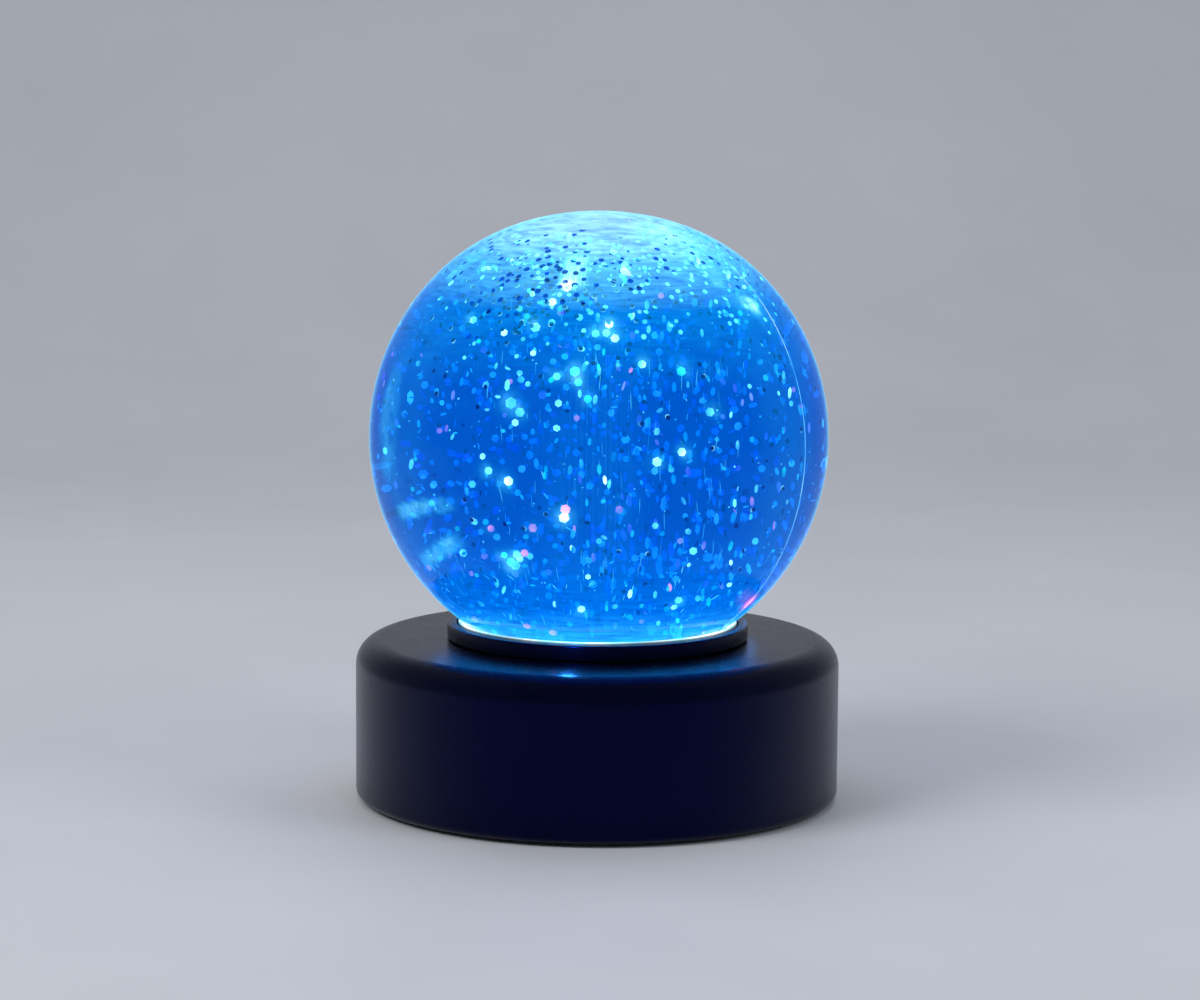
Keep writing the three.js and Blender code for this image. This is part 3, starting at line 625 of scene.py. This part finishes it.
def glitter_material(name, colour, emit, power, metal=0.6, rough=0.3, dim=0.3, patchy=150, low=None):
    """Flakes whose caught light is painted as glow: it changes from flake to flake, and with height if low is given."""
    m, nt, p = material(name)
    a = tuple(c * 0.7 for c in colour)
    nt.links.new(ramp(nt, noise(nt, 180, 1), [(0.35, a), (0.65, colour)]), p.inputs["Base Color"])
    p.inputs["Metallic"].default_value = metal
    p.inputs["Roughness"].default_value = rough
    if low is None:
        e2 = (emit[0] * dim * 0.4, emit[1] * dim, max(emit[2] * dim, 0.4))
        nt.links.new(ramp(nt, noise(nt, patchy, 1), [(0.4, e2), (0.62, emit)]), p.inputs["Emission Color"])
    else:
        co = node(nt, "ShaderNodeTexCoord")
        sep = node(nt, "ShaderNodeSeparateXYZ")
        nt.links.new(co.outputs["Object"], sep.inputs[0])
        nt.links.new(ramp(nt, spread(nt, sep.outputs["Z"], 0, 1, 0.134, 0.151), [(0.0, low), (1.0, emit)]), p.inputs["Emission Color"])
    p.inputs["Emission Strength"].default_value = power
    return m


def in_ball(n, radius=55.5):
    """Points all through the liquid, a little denser low down and near the middle, in mm from the globe's centre."""
    out = []
    while len(out) < n:
        q = rng.uniform(-radius, radius, 3)
        d = math.sqrt((q**2).sum())
        if d > radius or q[2] > 53.5 or q[2] < -47.5:
            continue
        if math.hypot(q[0], q[1]) < 13.5 and q[2] < -43.5:
            continue
        if rng.random() > 0.42 + 0.58 * math.exp(-((math.hypot(q[0], q[1]) / 34) ** 2)) * (1.0 if q[2] < 22 else 0.55):
            continue
        out.append(q)
    return np.array(out)


def on_wall(n, centre_dir, spread_deg, radius=57.35):
    c = np.array(centre_dir) / np.linalg.norm(centre_dir)
    out = []
    while len(out) < n:
        d = c + rng.normal(size=3) * math.tan(math.radians(spread_deg))
        d /= np.linalg.norm(d)
        q = d * radius
        if q[2] > 52.5 or q[2] < -45:
            continue
        pol = math.degrees(math.acos(d[2]))
        drop = POLE_DROP * math.cos(math.radians(90 * pol / POLE_SPAN)) ** 2 if pol < POLE_SPAN else 0
        q = d * (radius - drop)
        if all(((q - o) ** 2).sum() > 1.45**2 for o in out[-400:]):
            out.append(q)
    return np.array(out)


def facing(n, share, wobble):
    """Normals: a share of them turned towards the front or back, so they show as full hexagons, and the others any way."""
    d = unit(n)
    k = int(n * share)
    a = CAM_BACK + rng.normal(size=(k, 3)) * wobble
    d[:k] = a / np.linalg.norm(a, axis=1, keepdims=True)
    return d


def meridian_of(q):
    """The upward direction along the wall at each point."""
    n = q / np.linalg.norm(q, axis=1, keepdims=True)
    m = np.array([0.0, 0.0, 1.0]) - n * n[:, 2:3]
    return m / np.linalg.norm(m, axis=1, keepdims=True)


def direction(a, e):
    a, e = math.radians(a), math.radians(e)
    return np.array([math.cos(e) * math.cos(a), math.cos(e) * math.sin(a), math.sin(e)])


C0 = np.array([0, 0, GZ])
dark = glitter_material("glitter_dark", (0.002, 0.008, 0.05), (0.0, 0.17, 0.46), 1.0, 0.0, 0.6, low=(0.0, 0.0, 0.16))
rimlit = glitter_material("glitter_rim", (0.5, 0.8, 1.0), (0.45, 0.88, 1.0), 0.9, dim=0.15)
kinds = [
    ("glitter_blue", 420, (0.1, 0.4, 1.0), (0.0, 0.36, 1.0), 0.9, (1.2, 1.8), 0.35),
    ("glitter_cyan", 470, (0.2, 0.8, 1.0), (0.04, 0.60, 1.0), 1.15, (1.2, 1.8), 0.4),
    ("glitter_pale", 210, (0.6, 0.8, 1.0), (0.30, 0.80, 1.0), 1.5, (1.3, 1.9), 0.5),
    ("glitter_white", 150, (0.9, 0.95, 1.0), (0.85, 0.99, 1.0), 2.6, (1.4, 2.0), 0.7),
    ("glitter_lilac", 80, (0.6, 0.5, 1.0), (0.42, 0.28, 0.95), 1.1, (1.3, 2.0), 0.6),
    ("glitter_pink", 95, (1.0, 0.4, 0.6), (1.0, 0.15, 0.32), 2.4, (1.2, 1.9), 0.6),
    ("glitter_green", 50, (0.2, 1.0, 0.6), (0.03, 0.95, 0.72), 1.5, (1.2, 1.8), 0.5),
    ("glitter_deep", 250, (0.002, 0.008, 0.05), (0.0, 0.02, 0.20), 0.7, (1.1, 1.45), 0.5),
]
by_name = {}
for name, n, colour, emit, power, (w0, w1), share in kinds:
    c = in_ball(n) + C0
    by_name[name] = glitter_material(name, colour, emit, power)
    w = rng.uniform(w0, w1, n)
    drawn = rng.random(n) < np.where(c[:, 0] > -8, 0.55, 0.15)  # drawn out upright as they fall
    flakes(name, c[~drawn], facing((~drawn).sum(), share, 0.35), w[~drawn], by_name[name])
    flakes(name + "_drawn", c[drawn], facing(drawn.sum(), 1.0, 0.3), w[drawn] * rng.uniform(0.5, 0.8, drawn.sum()), by_name[name], stretch=2.2, lean=0.12)

# The flakes that lie on the inside of the wall: a crowd high on the front, and a few everywhere.
groups = [((-0.13, -0.63, 0.77), 9.5, 105), ((-0.42, -0.66, 0.58), 9, 34), ((0.06, -0.55, 0.83), 9, 30)]
walls = [on_wall(n, d, s) for d, s, n in groups]
walls.append(on_wall(120, (0, 0, 0.0001), 89.9))
q = np.concatenate(walls)
normals = q / np.linalg.norm(q, axis=1, keepdims=True) + rng.normal(size=q.shape) * 0.12
normals /= np.linalg.norm(normals, axis=1, keepdims=True)
flakes("glitter_wall_dark", q + C0, normals, rng.uniform(1.25, 1.42, len(q)), dark)
# A painted lit edge shows beside some of them: a second, glowing flake just behind.
some = rng.random(len(q)) < 0.5
off = rng.normal(size=(some.sum(), 3)) * 0.16
flakes("glitter_wall_rim", q[some] * (1 - 0.28 / 57.35) + off + C0, normals[some], rng.uniform(1.25, 1.45, some.sum()), rimlit)

# Light flakes lie among them near the crown.
q = np.concatenate([on_wall(120, (0.0, -0.45, 0.9), 17, 56.6), on_wall(60, (0.5, -0.35, 0.75), 11, 56.6)])
normals = q / np.linalg.norm(q, axis=1, keepdims=True) + rng.normal(size=q.shape) * 0.2
normals /= np.linalg.norm(normals, axis=1, keepdims=True)
flakes("glitter_crown", q + C0, normals, rng.uniform(1.0, 1.5, len(q)), glitter_material("glitter_crown", (0.5, 0.9, 1.0), (0.3, 0.85, 1.0), 1.5, dim=0.4))

# The flakes that flash brightest, as listed above.
for kind, spots in flashes.items():
    c = np.array([direction(a, e) * 56.5 for a, e, w in spots])
    flakes("glitter_flash_" + kind, c + C0, facing(len(spots), 1.0, 0.12), np.array([w for a, e, w in spots]) * 1.12, by_name["glitter_" + kind], thick=0.08)

# Fine dust between the flakes.
q = np.concatenate([in_ball(220, 55), np.array([direction(rng.uniform(-180, 180), rng.uniform(-50, 50)) * rng.uniform(50, 57) for k in range(260)])])
flakes("glitter_dust", q + C0, facing(len(q), 0.6, 0.5), rng.uniform(0.3, 0.6, len(q)), glitter_material("glitter_dust", (0.5, 0.9, 1.0), (0.35, 0.9, 1.0), 1.3, dim=0.3))

# Flakes caught edge-on as they fall: thin upright slivers, and longer hair-thin trails.
q = in_ball(210, 50)
d = rng.normal(size=q.shape)
d[:, 2] *= 0.1
d /= np.linalg.norm(d, axis=1, keepdims=True)
flakes("glitter_slivers", q + C0, d, rng.uniform(0.18, 0.32, len(q)), glitter_material("glitter_sliver", (0.4, 0.8, 1.0), (0.15, 0.7, 1.0), 0.9), stretch=6.0)
q = np.array([direction(rng.uniform(-125, -45), rng.uniform(-30, 28)) * rng.uniform(44, 56) for k in range(70)])
d = q / np.linalg.norm(q, axis=1, keepdims=True) + rng.normal(size=q.shape) * 0.15
d[:, 2] *= 0.1
d /= np.linalg.norm(d, axis=1, keepdims=True)
flakes("glitter_trails", q + C0, d, rng.uniform(0.09, 0.16, len(q)), glitter_material("glitter_trail", (0.4, 0.8, 1.0), (0.2, 0.75, 1.0), 0.8), stretch=30.0)
# Low down they swirl out from the neck.
q = np.array([direction(rng.uniform(-180, 180), rng.uniform(-54, -30)) * rng.uniform(49, 56.5) for k in range(110)])
d = q / np.linalg.norm(q, axis=1, keepdims=True) + rng.normal(size=q.shape) * 0.2
d /= np.linalg.norm(d, axis=1, keepdims=True)
flakes("glitter_swirl", q + C0, d, rng.uniform(0.16, 0.3, len(q)), glitter_material("glitter_swirl", (0.4, 0.8, 1.0), (0.25, 0.8, 1.0), 1.1), stretch=8.0, lean=0.3, along=meridian_of(q))
q = np.array([direction(rng.uniform(-180, 180), rng.uniform(-50, -26)) * rng.uniform(55.5, 57) for k in range(90)])
d = q / np.linalg.norm(q, axis=1, keepdims=True)
flakes("glitter_hairs", q + C0, d, rng.uniform(0.07, 0.12, len(q)), glitter_material("glitter_hair", (0.4, 0.8, 1.0), (0.1, 0.6, 1.0), 0.8), stretch=46.0, lean=0.04, along=meridian_of(q))

# ---------------------------------------------------------------- collar and seal
prof = (
    [(39.5, 42.95)] + arc(39.5 - 0.45, 46.6 - 0.45, 0.45, 0, 90, 6) + arc(37.1 + 0.3, 46.6 - 0.3, 0.3, 90, 180, 4)
    + [(37.1, 43.6), (33.9, 43.6), (33.9, 39.6), (36.8, 39.6), (36.8, 38.4), (38.1, 38.4), (39.1, 39.0), (39.1, 39.6), (38.1, 39.6), (38.1, 42.7), (39.25, 42.7)]
)
v, f = revolve(prof, turns(160))
collar = add("collar_ring_fine", v, f, black_shell)
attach(collar, "lamp"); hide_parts("collar_ring")

prof = [(34.8, 43.9), (36.7, 43.9), (36.7, 46.4)] + [(36.6, 46.75), (36.35, 47.0), (36.0, 47.08), (35.75, 46.95), (35.3, 46.4)] + [(34.8, 45.9)]
v, f = revolve(prof, turns(160))
seal = add("globe_gasket_fine", v, f, gasket_mat)
sc = np.array([q_.co for q_ in seal.data.vertices])
wave = 0.5 + 0.5 * np.cos(np.radians((np.degrees(np.arctan2(sc[:, 1], sc[:, 0])) - LED_AT[0]) * 6))
seal.data.attributes.new("painted_seal_glow", "FLOAT", "POINT").data.foreach_set("value", ((1.2 + 2.0 * wave) * np.clip((36.66 - np.hypot(sc[:, 0], sc[:, 1]) / MM) / 0.45, 0.02, 1)).astype(np.float32))
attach(seal, "lamp"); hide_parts("globe_gasket")

# ---------------------------------------------------------------- base housing
BR, BT, ROUND, FOOT = 63.5, 42.4, 6.7, 2.2


def cutter(name, x0, y0, z0, x1, y1, z1):
    vs = [(x * MM, y * MM, z * MM) for x in (x0, x1) for y in (y0, y1) for z in (z0, z1)]
    fs = [(0, 1, 3, 2), (4, 6, 7, 5), (0, 4, 5, 1), (2, 3, 7, 6), (0, 2, 6, 4), (1, 5, 7, 3)]
    return add(name, vs, fs, black_shell, smooth=False)


def boolean(ob, tool, how):
    mod = ob.modifiers.new("b", "BOOLEAN")
    mod.operation, mod.solver, mod.object = how, "EXACT", tool
    bpy.context.view_layer.update()
    dg = bpy.context.evaluated_depsgraph_get()
    me2 = bpy.data.meshes.new_from_object(ob.evaluated_get(dg))
    ob.modifiers.remove(mod)
    old = ob.data
    ob.data = me2
    bpy.data.meshes.remove(old)
    bpy.data.objects.remove(tool)


inR = BR - 2.6
prof = (
    arc(BR - FOOT, 0.8 + FOOT, FOOT, -90, 0, 8)
    + arc(BR - ROUND, BT - ROUND, ROUND, 0, 90, 18)
    + [(38.7, BT), (38.5, BT - 0.2), (38.5, 40.0)]
    + arc(inR - 4.2, 40.0 - 4.2, 4.2, 90, 0, 6)
    + [(inR, 0.8)]
)
v, f = revolve(prof, turns(180))
housing = add("base_housing_fine", v, f, black_shell)
for a in (45, 135, 225, 315):
    x, y = 54.5 * math.cos(math.radians(a)), 54.5 * math.sin(math.radians(a))
    ringp = [(0.0, 15.0), (1.45, 15.0), (1.45, 3.1), (3.4, 3.1), (3.4, 40.4), (0.0, 40.4)]
    v, f = revolve(ringp, turns(28))
    post = add("post", [(p_[0] + x * MM, p_[1] + y * MM, p_[2]) for p_ in v], f, black_shell)
    boolean(housing, post, "UNION")
    t = math.radians(a)
    corners = [(x_, y_, z_) for x_ in (56.5, 61.4) for y_ in (-0.7, 0.7) for z_ in (3.1, 36.0)]
    web = add("web", [((x_ * math.cos(t) - y_ * math.sin(t)) * MM, (x_ * math.sin(t) + y_ * math.cos(t)) * MM, z_ * MM) for x_, y_, z_ in corners],
              [(0, 1, 3, 2), (4, 6, 7, 5), (0, 4, 5, 1), (2, 3, 7, 6), (0, 2, 6, 4), (1, 5, 7, 3)], black_shell, smooth=False)
    boolean(housing, web, "UNION")
for a in (90, 210, 330):
    x, y = 43.6 * math.cos(math.radians(a)), 43.6 * math.sin(math.radians(a))
    v, f = revolve([(0.0, 36.6), (3.2, 36.6), (3.2, 40.5), (0.0, 40.5)], turns(28))
    post = add("post", [(p_[0] + x * MM, p_[1] + y * MM, p_[2]) for p_ in v], f, black_shell)
    boolean(housing, post, "UNION")
    v, f = revolve([(0.0, 36.0), (1.45, 36.0), (1.45, 41.0), (0.0, 41.0)], turns(28))
    hole = add("hole", [(p_[0] + x * MM, p_[1] + y * MM, p_[2]) for p_ in v], f, black_shell)
    boolean(housing, hole, "DIFFERENCE")
SZ = 15.0
boolean(housing, cutter("c1", -8.5, 62.1, SZ - 4.2, 8.5, 66, SZ + 4.2), "DIFFERENCE")
boolean(housing, cutter("c2", -4.7, 55, SZ - 2.1, 4.7, 66, SZ + 2.1), "DIFFERENCE")
boolean(housing, cutter("c3", -11, 57, SZ - 6.5, 11, 60.6, SZ + 6.5), "DIFFERENCE")
bm = bmesh.new()
bm.from_mesh(housing.data)
bmesh.ops.remove_doubles(bm, verts=bm.verts, dist=2e-6)
bmesh.ops.dissolve_degenerate(bm, edges=bm.edges, dist=1e-6)
bm.to_mesh(housing.data)
bm.free()
housing.data.polygons.foreach_set("use_smooth", np.ones(len(housing.data.polygons), bool))
housing.data.set_sharp_from_angle(angle=math.radians(30))
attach(housing, "lamp"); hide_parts("base_housing")

# ---------------------------------------------------------------- the other CAD pieces, with their finishes
finish_of = {
    "globe_plug": plug_mat, "impeller": clear_inner, "impeller_cap": clear_inner,
    "bottom_cover": black_cover, "battery_door": black_cover, "switch_slider": black_cover, "motor_end_cap": black_cover, "control_chip": black_cover,
    "foot_1": rubber, "foot_2": rubber, "foot_3": rubber, "foot_4": rubber, "plug_seal": rubber, "battery_lead_black": rubber, "motor_lead_black": rubber,
    "impeller_magnet": magnet_mat, "drive_magnet_1": magnet_mat, "drive_magnet_2": magnet_mat,
    "light_cup": white_plastic, "magnet_carrier": white_plastic, "led_board": white_plastic, "led_lead": white_plastic,
    "switch_body": switch_mat, "control_board": board_mat, "battery_lead_red": red_lead, "motor_lead_red": red_lead,
}
for name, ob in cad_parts.items():
    m = finish_of.get(name)
    if m is None:
        m = led_mat if name.startswith("led_") else cell_mats.get(name, steel)
    ob.data.materials.clear()
    ob.data.materials.append(m)
    ob.data.polygons.foreach_set("use_smooth", np.ones(len(ob.data.polygons), bool))
    weld = ob.modifiers.new("weld", "WELD")
    weld.merge_threshold = 1e-6
    split = ob.modifiers.new("split", "EDGE_SPLIT")
    split.split_angle = math.radians(32)

# ---------------------------------------------------------------- floor, backdrop and light
floor_mat = plain("floor", (0.66, 0.67, 0.70), 0.6, vary=0.03, grain=500, depth=0.00003, blotch=8, rough_by=0.05)
verts, faces = [], []
path = [(-1.6, 0.0)] + [(y, 0.0) for y in np.linspace(-1.4, 0.7, 12)] + [(0.7 + 0.6 * math.sin(t), 0.6 - 0.6 * math.cos(t)) for t in np.linspace(0.1, math.pi / 2, 14)] + [(1.3, 2.4)]
for y, z in path:
    verts += [(-2.5, y, z), (2.5, y, z)]
for k in range(len(path) - 1):
    faces.append((2 * k, 2 * k + 1, 2 * k + 3, 2 * k + 2))
floor = add("floor", verts, faces, floor_mat, angle=60)

world = bpy.data.worlds.new("world")
scene.world = world
world.use_nodes = True
bg = world.node_tree.nodes["Background"]
bg.inputs["Color"].default_value = (0.80, 0.86, 1.0, 1)
bg.inputs["Strength"].default_value = 0.28


def softbox(name, at, to, w, h, power, colour=(1, 1, 1)):
    d = bpy.data.lights.new(name, "AREA")
    d.shape, d.size, d.size_y, d.energy, d.color = "RECTANGLE", w, h, power, colour
    o = bpy.data.objects.new(name, d)
    scene.collection.objects.link(o)
    o.location = at
    o.rotation_mode = "QUATERNION"
    o.rotation_quaternion = (Vector(to) - Vector(at)).to_track_quat("-Z", "Y")
    return o


for o in (
    softbox("key", (-0.75, -0.55, 0.9), (0, 0, 0.08), 0.6, 0.6, 6.5),
    softbox("fill", (0.85, -0.45, 0.6), (0, 0, 0.08), 0.5, 0.6, 3.0, (0.9, 0.95, 1)),
    softbox("top", (0.0, 0.35, 1.2), (0, 0, 0.08), 1.1, 0.6, 4.5),
):
    o.visible_glossy = False
    o.visible_transmission = False

# The lamp's own light, which escapes round the seal over each LED and falls on the base.
for k, a in enumerate(LED_AT):
    d = bpy.data.lights.new("spill_%d" % (k + 1), "POINT")
    d.energy, d.color, d.shadow_soft_size = (0.006 if k in (1, 4) else 0.0002), (0.03, 0.30, 1.0), 0.002
    o = bpy.data.objects.new("spill_%d" % (k + 1), d)
    scene.collection.objects.link(o)
    o.location = (0.0435 * math.cos(math.radians(a)), 0.0435 * math.sin(math.radians(a)), 0.0495)
    o.visible_camera = False
    o.visible_transmission = False
